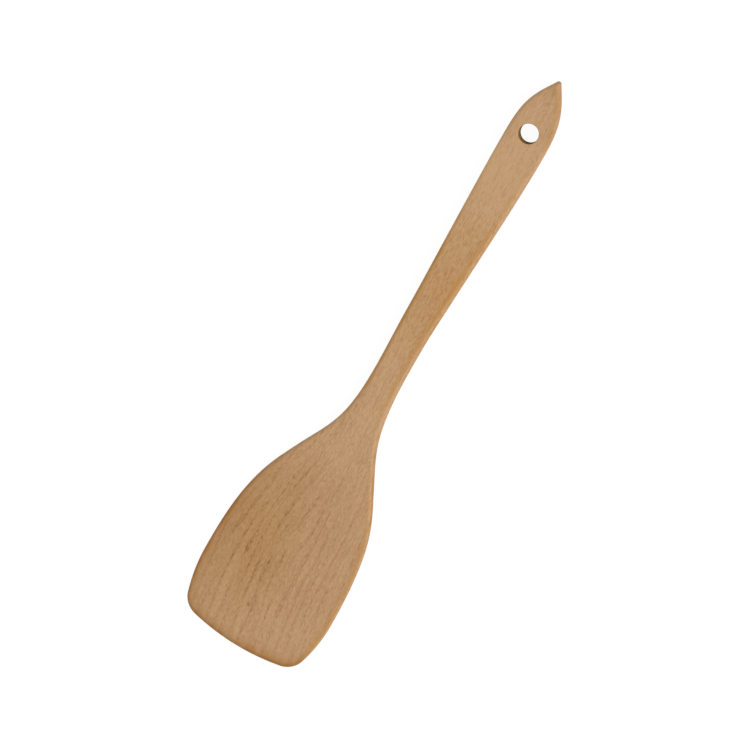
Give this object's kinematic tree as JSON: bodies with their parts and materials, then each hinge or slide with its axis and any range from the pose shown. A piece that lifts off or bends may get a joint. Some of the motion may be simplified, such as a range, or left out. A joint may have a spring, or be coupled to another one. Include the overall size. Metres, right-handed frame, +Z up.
{
  "type": "wooden spatula",
  "caption": "Flat one-piece beech kitchen spatula with a broad thin blade, sloping shoulders, a slim tapered handle, a pointed end and a hanging hole.",
  "frame": {"origin": "on the flat back, under the middle of the overall length, on the axis", "axes": "+X along the axis from the blade to the tip of the handle, +Y across the blade, +Z up from the flat back to the front face"},
  "size_m": [0.3, 0.0672, 0.006],
  "materials": {
    "beech": "sanded satin"
  },
  "bodies": {
    "root": {"spatula": "beech"}
  },
  "joints": []
}
